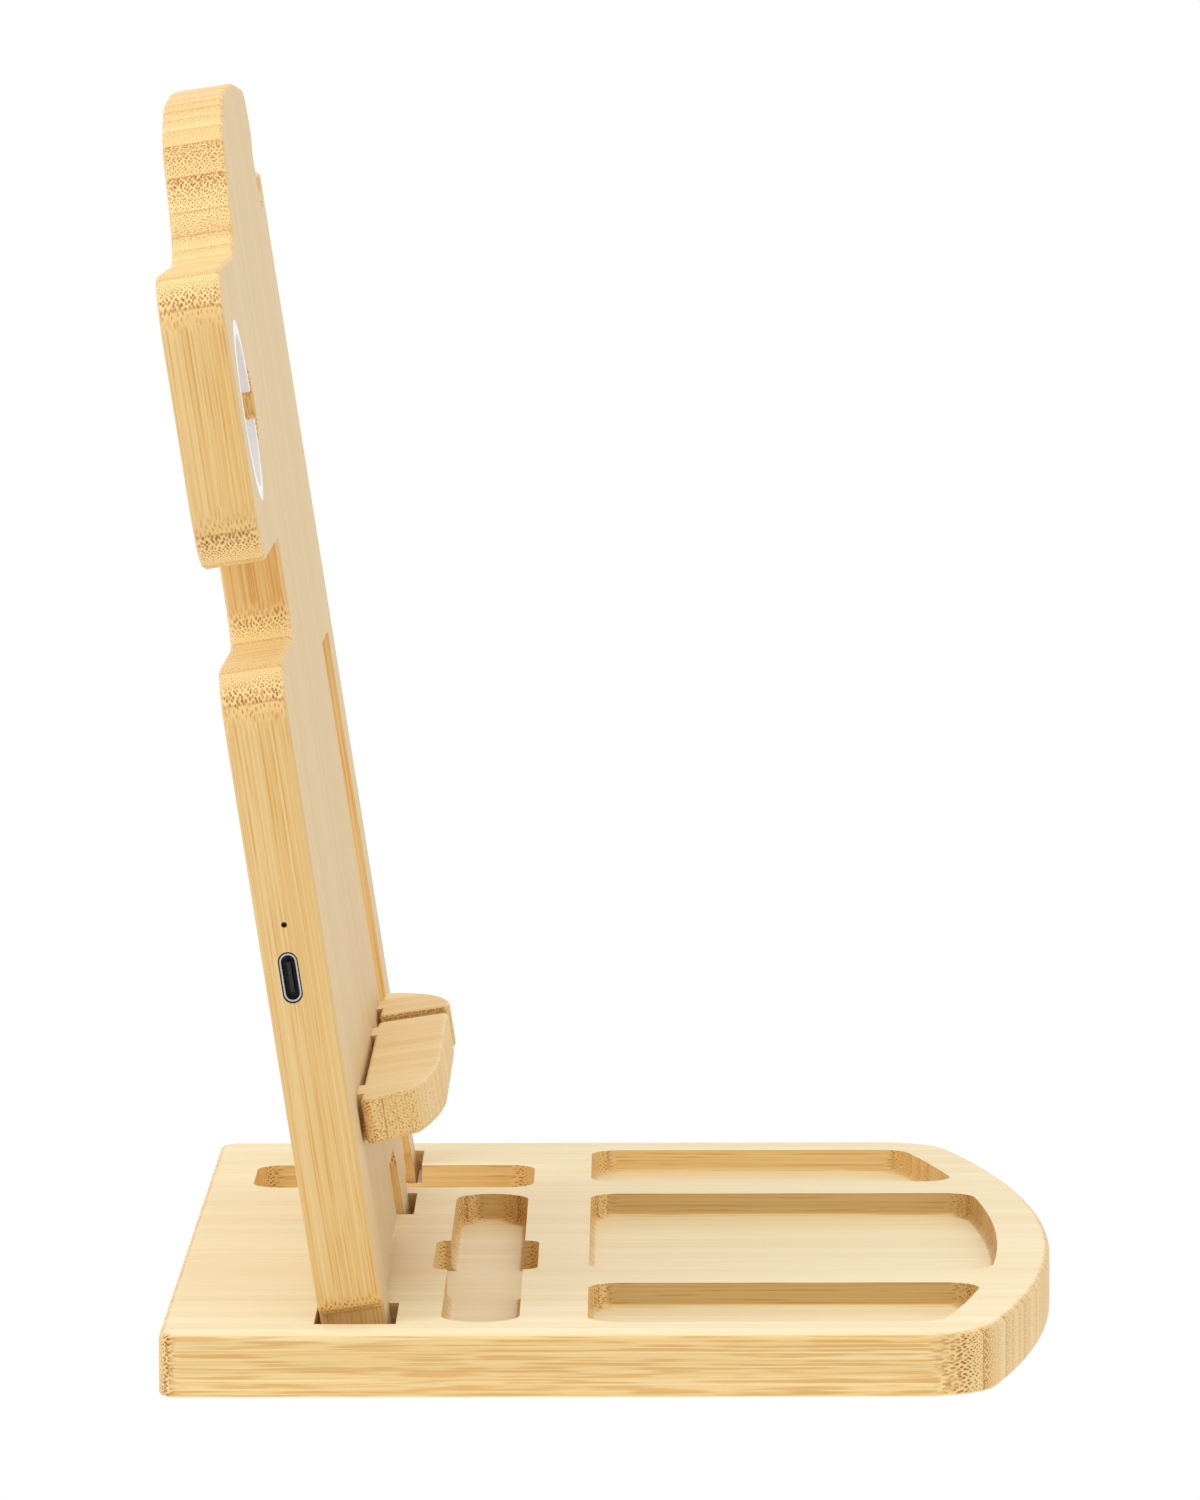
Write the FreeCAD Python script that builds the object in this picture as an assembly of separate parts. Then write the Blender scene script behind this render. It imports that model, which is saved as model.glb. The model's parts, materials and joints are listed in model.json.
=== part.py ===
import FreeCAD, Part
import math
import os

# Charging station organizer in laminated bamboo. A bowed base holds a pen slot, three trays and a
# cable well. A leaning panel plugs into it, with a watch seat at its left and a phone charger hidden
# in a covered pocket in its back. Two ledges plug into the panel and carry phones.
# Millimetres, +Z up, front towards -Y, left towards -X. The origin is under the middle of the box.

Vec = FreeCAD.Vector
X_AXIS = Vec(1, 0, 0)
Y_AXIS = Vec(0, 1, 0)
HALF = 0.5
TOLERANCE = 1e-4          # within which two places count as one
OVERRUN = 5.0             # how far every cutter runs past the face that it opens

# Base board
base_width = 234.0
base_depth = 168.6
base_thick = 12.0
base_bow = 17.8           # how far the front edge bulges at its middle
base_front_corner = 15.0
base_back_corner = 4.0
base_top_round = 1.5
base_bottom_round = 1.0

# Foot pads, let into the underside
foot_radius = 7.0
foot_thick = 1.8
foot_recess = 1.0
foot_side_inset = 22.0
foot_end_inset = 30.0
foot_clearance = 0.1

# Trays in front of the panel
tray_depth = 5.0
tray_margin = 12.0        # from the side edges of the base
tray_front_rim = 10.2     # wood left between a tray and the bowed edge
tray_side_width = 43.0
tray_divider = 15.5
tray_back_y = 5.8
tray_corner = 6.0
tray_floor_round = 1.5

# Pen slot, round-ended, with a finger recess at its middle
pen_well_wall = 8.5       # wood left between the slot's end and the cable well
pen_width = 14.5
pen_depth = 6.0
pen_centre_y = 25.65
pen_floor_round = 1.5
finger_length = 34.2
finger_reach = 2.8
finger_corner = 3.0

# Cable well, in line with the panel's cable slot
well_length = 57.4
well_centre_y = 46.2
well_corner = 6.0
well_depth = 8.0

# Panel, drawn flat: x across, v up the panel, y through it from its front face
panel_side_inset = 11.0   # from the side edges of the base
panel_thick = 12.0
panel_tilt = 8.7          # degrees from upright
panel_front_y = 42.95     # its front face at the level of the base's top
panel_edge_round = 1.1
panel_lower_edge = 2.5
panel_lower_corner = 4.0
lower_relief = 2.0        # the lower edge is cut higher beside the arch
lower_relief_inset = 21.0  # wood left between the left tab and this cut
lower_relief_corner = 1.0

# Panel outline: the watch lobe, the notch below it, the crown and the hook
lobe_width = 61.0
lobe_bottom = 141.5
lobe_top = 196.2
lobe_corner = 12.0
notch_inner_round = 1.0
shoulder_level = 123.3
shoulder_corner = 12.0
shoulder_cove = 8.0
cove_start = 62.0         # from the left edge, where the lobe's top begins to rise
cove_round = 30.0
cove_run = 14.5           # from there to where the rise turns steep
step_rise = 5.8           # above the lobe
step_round = 15.0
crown_level = 228.1       # of the crown's highest corner, before it is rounded
brow_start = 91.5         # from the left edge, where the rise eases
brow_drop = 9.6           # below the crown
brow_round = 16.0
crown_start = 112.0
crown_start_drop = 2.6
crown_peak_share = 0.43   # of the way from there to the nose
crown_start_reach_share = 0.3  # of the run between the two, taken by the round at its start
crown_peak_reach_share = 0.6
nose_drop = 2.6
nose_height = 10.5
nose_round = 8.0
nose_lower_round = 3.0
nose_reach = 6.5          # how far the nose hangs over the hook's groove
nose_slant = 3.5
neck_round = 2.0
hook_gap = 13.0
hook_gap_round = 5.0
hook_depth = 27.2         # of the groove's floor, below the crown
finger_width = 5.0
finger_height = 7.1
finger_round = 1.5

# Panel openings
cable_slot_width = 30.0
cable_slot_inset = 21.0   # wood left between the slot and the right edge
cable_slot_top = 112.9
cable_slot_round = 1.0
arch_width = 30.0
arch_height = 14.0
arch_corner = 5.0
arch_leg_width = 34.0     # wood between the arch and the cable slot

# Panel tabs and their sockets in the base
left_tab_inset = 4.0
left_tab_width = 17.0
mid_tab_inset = 0.5       # from the arch
mid_tab_width = 25.0
right_tab_inset = 2.0
right_tab_width = 17.0
tab_end_clearance = 1.0
tab_side_clearance = 0.25
socket_floor = 3.0        # wood left under each socket
mouth_depth = 4.0         # a wider mouth round each tab, then a close fit below it
mouth_front_gap = 1.9
mouth_back_gap = 1.05
left_mouth_reach = 5.0    # how far the left mouth runs past its tab towards the edge

# Watch seat: a ring for a round charger, with a hole for its lead
seat_radius = 17.0
seat_floor = 3.6          # wood left behind the seat
seat_level = 168.5
seat_inset = 28.0         # of its centre, from the left edge
ring_wall = 2.75
ring_fit = 0.05
ring_notch = 5.2
lead_hole_radius = 7.0
lead_hole_reach = 0.5     # of its centre, past the seat's edge

# Phone ledges, with a gap for a lead between them
ledge_thick = 8.7
ledge_top_level = 39.0
ledge_depth = 15.0
ledge_corner = 1.5
ledge_edge_round = 0.8
ledge_stand_off = 0.8
ledge_start = 18.0        # from the left edge
left_ledge_end_depth = 10.9
left_ledge_end_run = 8.0  # how far its outer end slants inwards
left_ledge_sweep = 43.0   # from its outer end to where its front runs straight
lead_gap = 11.0
right_ledge_inset = 24.0  # from the cable slot
right_ledge_length = 34.0
right_ledge_end_depth = 4.0
right_ledge_end_run = 2.0
right_ledge_sweep = 32.0
tenon_width = 11.5
tenon_clearance = 0.2
mortise_skin = 3.0        # wood left behind each mortise
left_tenon_shares = (0.135, 0.88)  # places of the tenon centres along the left ledge
right_tenon_share = 0.45

# Charger pocket in the panel's back, with its cover
front_skin = 3.0
pocket_inset = 8.0
pocket_below_port = 10.8
pocket_above_port = 17.5
pocket_overlap = 11.0     # how far the board's bay stops short of the coil's centre
pocket_corner = 3.0
coil_inset = 86.0         # coil centre, from the left edge
coil_above_port = 29.7
coil_bay_radius = 27.0
cover_thick = 2.5
cover_ledge = 5.0
cover_clearance = 0.2
cover_screw_head_radius = 1.7
cover_screw_head = 1.0
cover_screw_radius = 0.9
cover_screw_length = 6.0
cover_screw_angles = (-50.0, 20.0, 90.0)  # degrees, round the coil
screw_fit = 0.05
recess_length = 2.0       # cross recess in the screw heads
recess_width = 0.5
recess_depth = 0.6

# Charging socket in the left edge
port_level = 65.9
port_from_back = 4.75
port_length = 9.6
port_width = 3.7
port_mouth = 2.5          # length of the narrow mouth in the edge
port_fit = 0.04
channel_length = 12.0
channel_width = 5.0
bezel_recess = 0.3
shell_length = 8.94
shell_width = 3.2
shell_depth = 7.35
shell_wall = 0.3
shell_recess = 0.4
tongue_length = 5.6
tongue_thick = 0.7
tongue_recess = 0.9
tongue_block = 2.4

# Charger electronics
board_thick = 1.2
board_below_port = 9.0
board_above_port = 15.0
board_clearance = 0.4
board_tongue_width = 10.0
board_tongue_reach = 3.6
board_screw_head_radius = 1.4
board_screw_head = 0.8
board_screw_radius = 0.6
board_screw_grip = 0.8    # depth of the board screws in the wood
board_screw_inset = 2.4
coil_radius = 24.0
coil_bore = 10.0
coil_thick = 2.0
ferrite_radius = 25.0
ferrite_thick = 0.8
foam_radius = 20.0
lead_radius = 0.35
lead_lift = 0.02
lead_spacing = 3.0
lead_rise = 11.0          # of the lower lead, above the port
lead_run = 7.6            # between the board's edge and the ferrite's
chip_side = 5.0
chip_thick = 0.9
chip_gap = 3.0
chip_count = 2
inductor_side = 6.0
inductor_thick = 2.8
capacitor_length = 3.2
capacitor_width = 1.6
capacitor_gap = 1.4
capacitor_count = 4

# Status light behind a pinhole
light_above_port = 9.8
light_from_back = 5.15
pinhole_radius = 0.55
light_pipe_fit = 0.05
light_pipe_recess = 3.0
led_width = 1.6
led_length = 1.2

# Places that follow from the sizes above
tilt = math.radians(panel_tilt)
foot_proud = foot_thick-foot_recess
base_top = foot_proud+base_thick
base_left_x = -base_width*HALF
left_x = base_left_x+panel_side_inset
right_x = -left_x
neck_x = left_x+lobe_width
step_start = cove_start+cove_run
slot_right_x = right_x-cable_slot_inset
slot_left_x = slot_right_x-cable_slot_width
arch_right_x = slot_left_x-arch_leg_width
arch_left_x = arch_right_x-arch_width
seat_x = left_x+seat_inset
coil_x = left_x+coil_inset
left_ledge_x = left_x+ledge_start
right_ledge_x = slot_left_x-right_ledge_inset
left_ledge_length = right_ledge_x-lead_gap-left_ledge_x
left_tenons = [left_ledge_x+share*left_ledge_length for share in left_tenon_shares]
right_tenons = [right_ledge_x+right_tenon_share*right_ledge_length]
mortise_depth = panel_thick-mortise_skin
seat_depth = panel_thick-seat_floor
pocket_x = left_x+pocket_inset
pocket_length = coil_x-pocket_overlap-pocket_x
pocket_bottom = port_level-pocket_below_port
pocket_top = port_level+pocket_above_port
coil_level = port_level+coil_above_port
port_y = panel_thick-port_from_back
board_back_y = port_y-shell_width*HALF
board_front_y = board_back_y-board_thick
board_left_x = pocket_x+board_clearance
board_right_x = coil_x-ferrite_radius-lead_run
board_bottom = port_level-board_below_port
board_top = port_level+board_above_port
cover_front_y = panel_thick-cover_thick
light_level = port_level+light_above_port
light_y = panel_thick-light_from_back
socket_z = foot_proud+socket_floor
left_tab_x = left_x+left_tab_inset
lower_relief_width = arch_left_x-(left_tab_x+left_tab_width+lower_relief_inset)
mid_tab_x = arch_right_x+mid_tab_inset
right_tab_x = right_x-right_tab_inset-right_tab_width

# For each tab its left end and width, and the two ends of its socket's mouth
tabs = ((left_tab_x, left_tab_width,
         left_tab_x-left_mouth_reach, left_tab_x+left_tab_width+tab_end_clearance),
        (mid_tab_x, mid_tab_width,
         mid_tab_x-tab_end_clearance, mid_tab_x+mid_tab_width+tab_end_clearance),
        (right_tab_x, right_tab_width,
         slot_right_x-tab_end_clearance, right_tab_x+right_tab_width+tab_end_clearance))

# Rearmost point of the rounded crown, and so the shift that puts the origin under the middle
crown_rear_y = (panel_front_y+(panel_thick-panel_edge_round)*math.cos(tilt)
                + (crown_level-panel_edge_round)*math.sin(tilt)+panel_edge_round)
origin_shift = (crown_rear_y-base_depth*HALF)*HALF


def flat(a, b):
    """A point of a plan, drawn looking down."""
    return Vec(a, b, 0)


def upright(a, b):
    """A point of the panel's front face, before the panel is leaned back."""
    return Vec(a, 0, b)


def sideways(a, b):
    """A point of a section across the panel: a through it, b up it."""
    return Vec(0, a, b)


def rounded_face(corners, place):
    """A face inside a closed outline of (a, b, radius) corners, each rounded by its radius."""
    turns = []
    for i, (a, b, radius) in enumerate(corners):
        following = corners[(i+1) % len(corners)]
        here = Vec(a, b, 0)
        before = Vec(corners[i-1][0], corners[i-1][1], 0)-here
        after = Vec(following[0], following[1], 0)-here
        before.normalize()
        after.normalize()
        half_angle = before.getAngle(after)*HALF
        reach = radius/math.tan(half_angle)
        bisector = before+after
        bisector.normalize()
        middle = here+bisector*(radius/math.sin(half_angle)-radius)
        turns.append((here+before*reach, middle, here+after*reach))
    edges = []
    for i, (start, middle, end) in enumerate(turns):
        points = [place(p.x, p.y) for p in (turns[i-1][2], start, middle, end)]
        if points[0].distanceToPoint(points[1]) > TOLERANCE:
            edges.append(Part.LineSegment(points[0], points[1]).toShape())
        if points[1].distanceToPoint(points[3]) > TOLERANCE:
            edges.append(Part.Arc(*points[1:]).toShape())
    return Part.Face(Part.Wire(edges))


def rectangle(a0, a1, b0, b1, radius):
    """The four corners of a rounded rectangle."""
    return [(a0, b0, radius), (a1, b0, radius), (a1, b1, radius), (a0, b1, radius)]


def block(x0, x1, y0, y1, z0, z1):
    """A box between two corners."""
    return Part.makeBox(x1-x0, y1-y0, z1-z0, Vec(x0, y0, z0))


def disc(x, level, radius, y0, y1):
    """A round across the panel's thickness."""
    return Part.makeCylinder(radius, y1-y0, Vec(x, y0, level), Y_AXIS)


def rim_edges(solid, axis, level):
    """Edges of a solid that lie in the plane at a level along Y or Z."""
    found = []
    for edge in solid.Edges:
        box = edge.BoundBox
        ends = (box.YMin, box.YMax) if axis == "y" else (box.ZMin, box.ZMax)
        if all(abs(end-level) < TOLERANCE for end in ends):
            found.append(edge)
    return found


def upright_edges(solid, points):
    """Edges along Z that stand at the given points of the plan."""
    found = []
    for edge in solid.Edges:
        foot = flat(edge.BoundBox.Center.x, edge.BoundBox.Center.y)
        stands = edge.BoundBox.XLength+edge.BoundBox.YLength < TOLERANCE
        if stands and any(foot.distanceToPoint(point) < TOLERANCE for point in points):
            found.append(edge)
    return found


def panel_place(shape):
    """Lean a shape drawn in the panel's flat frame back and stand it on the base."""
    placed = shape.copy()
    placed.rotate(Vec(0, 0, 0), X_AXIS, -panel_tilt)
    placed.translate(Vec(0, panel_front_y, base_top))
    return placed


def save(name, shape):
    """Write one node, moved so that the origin lies under the middle of the object's box."""
    placed = shape.copy()
    placed.translate(Vec(0, -origin_shift, 0))
    placed.exportStep("parts/"+name+".step")
    print(name, "solids", len(placed.Solids), "valid", placed.isValid(), "volume", round(placed.Volume, 1))


# Base board

def base_blank():
    """The bowed board with rounded corners and edges, before anything is cut into it."""
    half_width = base_width*HALF
    half_depth = base_depth*HALF
    corner_y = -half_depth+base_bow
    corners = [flat(half_width, corner_y), flat(half_width, half_depth),
               flat(-half_width, half_depth), flat(-half_width, corner_y)]
    edges = [Part.LineSegment(a, b).toShape() for a, b in zip(corners, corners[1:])]
    edges.append(Part.Arc(corners[3], flat(0, -half_depth), corners[0]).toShape())
    solid = Part.Face(Part.Wire(edges)).extrude(Vec(0, 0, base_thick))
    solid = solid.makeFillet(base_front_corner, upright_edges(solid, [corners[0], corners[3]]))
    solid = solid.makeFillet(base_back_corner, upright_edges(solid, corners[1:3]))
    solid = solid.makeFillet(base_top_round, rim_edges(solid, "z", base_thick))
    solid = solid.makeFillet(base_bottom_round, rim_edges(solid, "z", 0))
    solid.translate(Vec(0, 0, foot_proud))
    return solid


def floor_rounded(cutter, radius):
    """Round the lower rim of a cutter, so that the wall of its hollow runs into the floor."""
    return cutter.makeFillet(radius, rim_edges(cutter, "z", cutter.BoundBox.ZMin))


def tray_cutter(x0, x1):
    """A tray whose front end follows the bowed edge of the base."""
    bow_radius = ((base_width*HALF)**2+base_bow**2)/(2*base_bow)
    centre_y = -base_depth*HALF+bow_radius
    height = tray_depth+OVERRUN
    slab = block(x0, x1, -base_depth, tray_back_y, 0, height)
    cutter = slab.common(Part.makeCylinder(bow_radius-tray_front_rim, height, Vec(0, centre_y, 0)))
    walls = [edge for edge in cutter.Edges if edge.BoundBox.ZLength > height*HALF]
    cutter = floor_rounded(cutter.makeFillet(tray_corner, walls), tray_floor_round)
    cutter.translate(Vec(0, 0, base_top-tray_depth))
    return cutter


def trays():
    """The two narrow side trays and the wide middle one."""
    outer = base_left_x+tray_margin
    inner = outer+tray_side_width+tray_divider
    return [tray_cutter(outer, outer+tray_side_width), tray_cutter(inner, -inner),
            tray_cutter(-outer-tray_side_width, -outer)]


def pen_slot():
    """A round-ended slot with a finger recess across its middle."""
    x0 = base_left_x+tray_margin
    x1 = slot_left_x-pen_well_wall
    middle = (x0+x1)*HALF
    front = pen_centre_y-pen_width*HALF
    back = pen_centre_y+pen_width*HALF
    up = Vec(0, 0, pen_depth+OVERRUN)
    slot = rounded_face(rectangle(x0, x1, front, back, pen_width*HALF), flat).extrude(up)
    recess = rounded_face(rectangle(middle-finger_length*HALF, middle+finger_length*HALF,
                                    front-finger_reach, back+finger_reach, finger_corner), flat)
    cutter = floor_rounded(slot, pen_floor_round).fuse(recess.extrude(up))
    cutter.translate(Vec(0, 0, base_top-pen_depth))
    return cutter


def cable_well():
    """A deep well in line with the cable slot of the panel."""
    face = rounded_face(rectangle(slot_left_x, slot_right_x, well_centre_y-well_length*HALF,
                                  well_centre_y+well_length*HALF, well_corner), flat)
    well = face.extrude(Vec(0, 0, well_depth+OVERRUN))
    well.translate(Vec(0, 0, base_top-well_depth))
    return well


def tab_block(x0, x1, clearance, top):
    """A tab in the panel's flat frame, or with a clearance the close lower part of its socket."""
    return block(x0, x1, -clearance, panel_thick+clearance, -2*base_thick, top)


def tab_sockets():
    """For each tab a straight mouth, and below it a leaning fit that ends on a flat floor."""
    across = panel_thick/math.cos(tilt)
    below = block(base_left_x, -base_left_x, -base_depth, base_depth, socket_z, base_top)
    sockets = []
    for x0, width, mouth_x0, mouth_x1 in tabs:
        mouth = block(mouth_x0, mouth_x1, panel_front_y-mouth_front_gap,
                      panel_front_y+across+mouth_back_gap, base_top-mouth_depth, base_top+OVERRUN)
        fit = tab_block(x0-tab_end_clearance, x0+width+tab_end_clearance, tab_side_clearance, base_thick)
        sockets.append(mouth.fuse(panel_place(fit).common(below)))
    return sockets


def foot_places():
    half_width = base_width*HALF-foot_side_inset
    half_depth = base_depth*HALF-foot_end_inset
    return (("foot_front_left", -half_width, -half_depth), ("foot_front_right", half_width, -half_depth),
            ("foot_back_left", -half_width, half_depth), ("foot_back_right", half_width, half_depth))


def foot_pad(x, y):
    return Part.makeCylinder(foot_radius, foot_thick, flat(x, y))


def base_board():
    hollows = trays()+[pen_slot(), cable_well()]+tab_sockets()
    for name, x, y in foot_places():
        hollows.append(Part.makeCylinder(foot_radius+foot_clearance, foot_thick, flat(x, y)))
    return base_blank().cut(hollows)


# Panel, in its flat frame

def round_reaching(before, corner, after, reach):
    """The radius of a rounded corner whose arc begins at this reach from its point."""
    here = Vec(*corner, 0)
    opening = (Vec(*before, 0)-here).getAngle(Vec(*after, 0)-here)
    return reach*math.tan(opening*HALF)


def panel_outline():
    """The outline, clockwise from the lobe's upper corner."""
    finger_x = right_x-finger_width
    neck_right_x = finger_x-hook_gap
    nose_x = neck_right_x+nose_reach
    nose_top = crown_level-nose_drop
    brow = (left_x+brow_start, crown_level-brow_drop)
    start = (left_x+crown_start, crown_level-crown_start_drop)
    run = (nose_x-start[0])*crown_peak_share
    peak = (start[0]+run, crown_level)
    start_round = round_reaching(brow, start, peak, run*crown_start_reach_share)
    peak_round = round_reaching(start, peak, (nose_x, nose_top), run*crown_peak_reach_share)
    nose_bottom = nose_top-nose_height
    hook_floor = crown_level-hook_depth
    finger_top = hook_floor+finger_height
    return [(left_x, lobe_top, lobe_corner),
            (left_x+cove_start, lobe_top, cove_round),
            (left_x+step_start, lobe_top+step_rise, step_round),
            (*brow, brow_round),
            (*start, start_round),
            (*peak, peak_round),
            (nose_x, nose_top, nose_round),
            (nose_x, nose_bottom, nose_lower_round),
            (neck_right_x, nose_bottom-nose_slant, neck_round),
            (neck_right_x, hook_floor, hook_gap_round),
            (finger_x, hook_floor, hook_gap_round),
            (finger_x, finger_top, finger_round),
            (right_x, finger_top, finger_round),
            (right_x, panel_lower_edge, panel_lower_corner),
            (left_x, panel_lower_edge, panel_lower_corner),
            (left_x, shoulder_level, shoulder_corner),
            (neck_x, shoulder_level, shoulder_cove),
            (neck_x, lobe_bottom, notch_inner_round),
            (left_x, lobe_bottom, lobe_corner)]


def open_below(x0, x1, top, radius):
    """A cutter through the panel that runs up from its lower edge."""
    face = rounded_face([(x0, -base_thick, 0), (x1, -base_thick, 0), (x1, top, radius),
                         (x0, top, radius)], upright)
    cutter = face.extrude(Vec(0, panel_thick+2*OVERRUN, 0))
    cutter.translate(Vec(0, -OVERRUN, 0))
    return cutter


def mortises():
    half = tenon_width*HALF+tenon_clearance
    low = ledge_top_level-ledge_thick-tenon_clearance
    high = ledge_top_level+tenon_clearance
    return [block(x-half, x+half, -OVERRUN, mortise_depth, low, high) for x in left_tenons+right_tenons]


def board_bay(grow, y0, y1):
    """The rectangular bay for the circuit board, grown all round by a margin."""
    face = rounded_face(rectangle(pocket_x-grow, pocket_x+pocket_length+grow, pocket_bottom-grow,
                                  pocket_top+grow, pocket_corner), upright)
    bay = face.extrude(Vec(0, y1-y0, 0))
    bay.translate(Vec(0, y0, 0))
    return bay


def cover_shape(grow, y1):
    """Both bays joined and grown all round, from the cover's front outwards."""
    coil_part = disc(coil_x, coil_level, coil_bay_radius+grow, cover_front_y, y1)
    return board_bay(grow, cover_front_y, y1).fuse(coil_part)


def cover_screw_places():
    """Screws in the middle of the ledge that the cover lies on."""
    reach = cover_ledge*HALF
    low = pocket_bottom-reach
    ring = coil_bay_radius+reach
    places = [(pocket_x+cover_ledge, low), (pocket_x+cover_ledge, pocket_top+reach),
              (pocket_x+pocket_length*HALF, low)]
    for angle in cover_screw_angles:
        turn = math.radians(angle)
        places.append((coil_x+ring*math.cos(turn), coil_level+ring*math.sin(turn)))
    return places


def board_screw_places():
    inset = board_screw_inset
    return ((board_left_x+inset, board_bottom+inset), (board_right_x-inset, board_bottom+inset),
            (board_left_x+inset, board_top-inset))


def stadium(length, width, x0, x1):
    """A round-ended bar along X at the charging socket."""
    face = rounded_face(rectangle(port_y-width*HALF, port_y+width*HALF, port_level-length*HALF,
                                  port_level+length*HALF, width*HALF), sideways)
    bar = face.extrude(Vec(x1-x0, 0, 0))
    bar.translate(Vec(x0, 0, 0))
    return bar


def port_cutters():
    """The socket's mouth, the channel behind it and the pinhole of the status light."""
    half = channel_length*HALF
    channel = block(left_x+port_mouth, pocket_x+OVERRUN, board_front_y, board_front_y+channel_width,
                    port_level-half, port_level+half)
    pinhole = Part.makeCylinder(pinhole_radius, pocket_inset+2*OVERRUN,
                                Vec(left_x-OVERRUN, light_y, light_level), X_AXIS)
    return [stadium(port_length, port_width, left_x-OVERRUN, left_x+port_mouth+OVERRUN), channel, pinhole]


def charger_cutters():
    """The two bays, the cover's rebate and the screw holes."""
    back = panel_thick+OVERRUN
    cutters = [board_bay(0, board_front_y, back),
               disc(coil_x, coil_level, coil_bay_radius, front_skin, back),
               cover_shape(cover_ledge, back)]
    for x, level in cover_screw_places():
        cutters.append(disc(x, level, cover_screw_radius+screw_fit, panel_thick-cover_screw_length, back))
    for x, level in board_screw_places():
        cutters.append(disc(x, level, board_screw_radius+screw_fit, board_front_y-board_screw_grip, back))
    return cutters


def upright_panel():
    solid = rounded_face(panel_outline(), upright).extrude(Vec(0, panel_thick, 0))
    rims = rim_edges(solid, "y", 0)+rim_edges(solid, "y", panel_thick)
    solid = solid.makeFillet(panel_edge_round, rims)
    root = panel_lower_edge+panel_edge_round
    solid = solid.fuse([tab_block(x0, x0+width, 0, root) for x0, width, mouth_x0, mouth_x1 in tabs])
    relief_top = panel_lower_edge+lower_relief
    lead_hole_x = seat_x+seat_radius+lead_hole_reach
    cutters = [open_below(slot_left_x, slot_right_x, cable_slot_top, cable_slot_round),
               open_below(arch_left_x, arch_right_x, arch_height, arch_corner),
               open_below(arch_left_x-lower_relief_width, arch_right_x, relief_top, lower_relief_corner),
               disc(seat_x, seat_level, seat_radius, -OVERRUN, seat_depth),
               disc(lead_hole_x, seat_level, lead_hole_radius, -OVERRUN, panel_thick+OVERRUN)]
    solid = solid.cut(cutters+mortises()+charger_cutters()+port_cutters())
    standing = block(left_x-OVERRUN, right_x+OVERRUN, -base_depth, base_depth, socket_z,
                     base_top+2*crown_level)
    return panel_place(solid).common(standing).removeSplitter()


def watch_ring():
    """A white ring on the floor of the seat, notched for the charger's lead."""
    ring = disc(seat_x, seat_level, seat_radius-ring_fit, 0, seat_depth)
    bore = disc(seat_x, seat_level, seat_radius-ring_wall, -OVERRUN, panel_thick)
    half = ring_notch*HALF
    notch = block(seat_x, seat_x+2*seat_radius, -OVERRUN, panel_thick, seat_level-half, seat_level+half)
    return ring.cut([bore, notch])


# Phone ledges, in the panel's flat frame

def ledge(outer_x, inner_x, turn_x, sweep_x, end_depth, tenons):
    """A ledge whose front sweeps back in an arc to its slanted outer end, with tenons at its back."""
    run = sweep_x-turn_x
    drop = ledge_depth-end_depth
    sweep_radius = (run**2+drop**2)/(2*drop)
    turn = math.asin(run/sweep_radius)*HALF
    middle = flat(sweep_x-sweep_radius*math.sin(turn), -ledge_depth+sweep_radius*(1-math.cos(turn)))
    points = [flat(sweep_x, -ledge_depth), flat(inner_x, -ledge_depth), flat(inner_x, -ledge_stand_off),
              flat(outer_x, -ledge_stand_off), flat(turn_x, -end_depth)]
    edges = [Part.LineSegment(a, b).toShape() for a, b in zip(points, points[1:])]
    edges.append(Part.Arc(points[4], middle, points[0]).toShape())
    solid = Part.Face(Part.Wire(edges)).extrude(Vec(0, 0, ledge_thick))
    solid = solid.makeFillet(ledge_corner, upright_edges(solid, points[1:]))
    rims = rim_edges(solid, "z", 0)+rim_edges(solid, "z", ledge_thick)
    solid = solid.makeFillet(ledge_edge_round, rims)
    half = tenon_width*HALF
    root = -ledge_stand_off-ledge_edge_round
    solid = solid.fuse([block(x-half, x+half, root, mortise_depth, 0, ledge_thick) for x in tenons])
    solid.translate(Vec(0, 0, ledge_top_level-ledge_thick))
    return solid.removeSplitter()


def phone_ledge_left():
    return ledge(left_ledge_x, left_ledge_x+left_ledge_length, left_ledge_x+left_ledge_end_run,
                 left_ledge_x+left_ledge_sweep, left_ledge_end_depth, left_tenons)


def phone_ledge_right():
    outer_x = right_ledge_x+right_ledge_length
    return ledge(outer_x, right_ledge_x, outer_x-right_ledge_end_run, outer_x-right_ledge_sweep,
                 right_ledge_end_depth, right_tenons)


# Charger, in the panel's flat frame

def back_cover():
    """The plate over the pocket, with seats for its screws."""
    holes = []
    for x, level in cover_screw_places():
        holes.append(disc(x, level, cover_screw_head_radius+screw_fit, panel_thick-cover_screw_head,
                          panel_thick+OVERRUN))
        holes.append(disc(x, level, cover_screw_radius+screw_fit, 0, panel_thick))
    return cover_shape(cover_ledge-cover_clearance, panel_thick).cut(holes).removeSplitter()


def screw(x, level, head_radius, head, radius, y0, y1):
    """A cross-recessed screw from its tip at y0 to the top of its head at y1."""
    shank = disc(x, level, radius, y0, y1)
    solid = shank.fuse(disc(x, level, head_radius, y1-head, y1)).removeSplitter()
    long = recess_length*HALF
    short = recess_width*HALF
    floor = y1-recess_depth
    return solid.cut([block(x-long, x+long, floor, y1+OVERRUN, level-short, level+short),
                      block(x-short, x+short, floor, y1+OVERRUN, level-long, level+long)])


def cover_screws():
    return Part.makeCompound([screw(x, level, cover_screw_head_radius, cover_screw_head,
                                    cover_screw_radius, panel_thick-cover_screw_length, panel_thick)
                              for x, level in cover_screw_places()])


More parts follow.
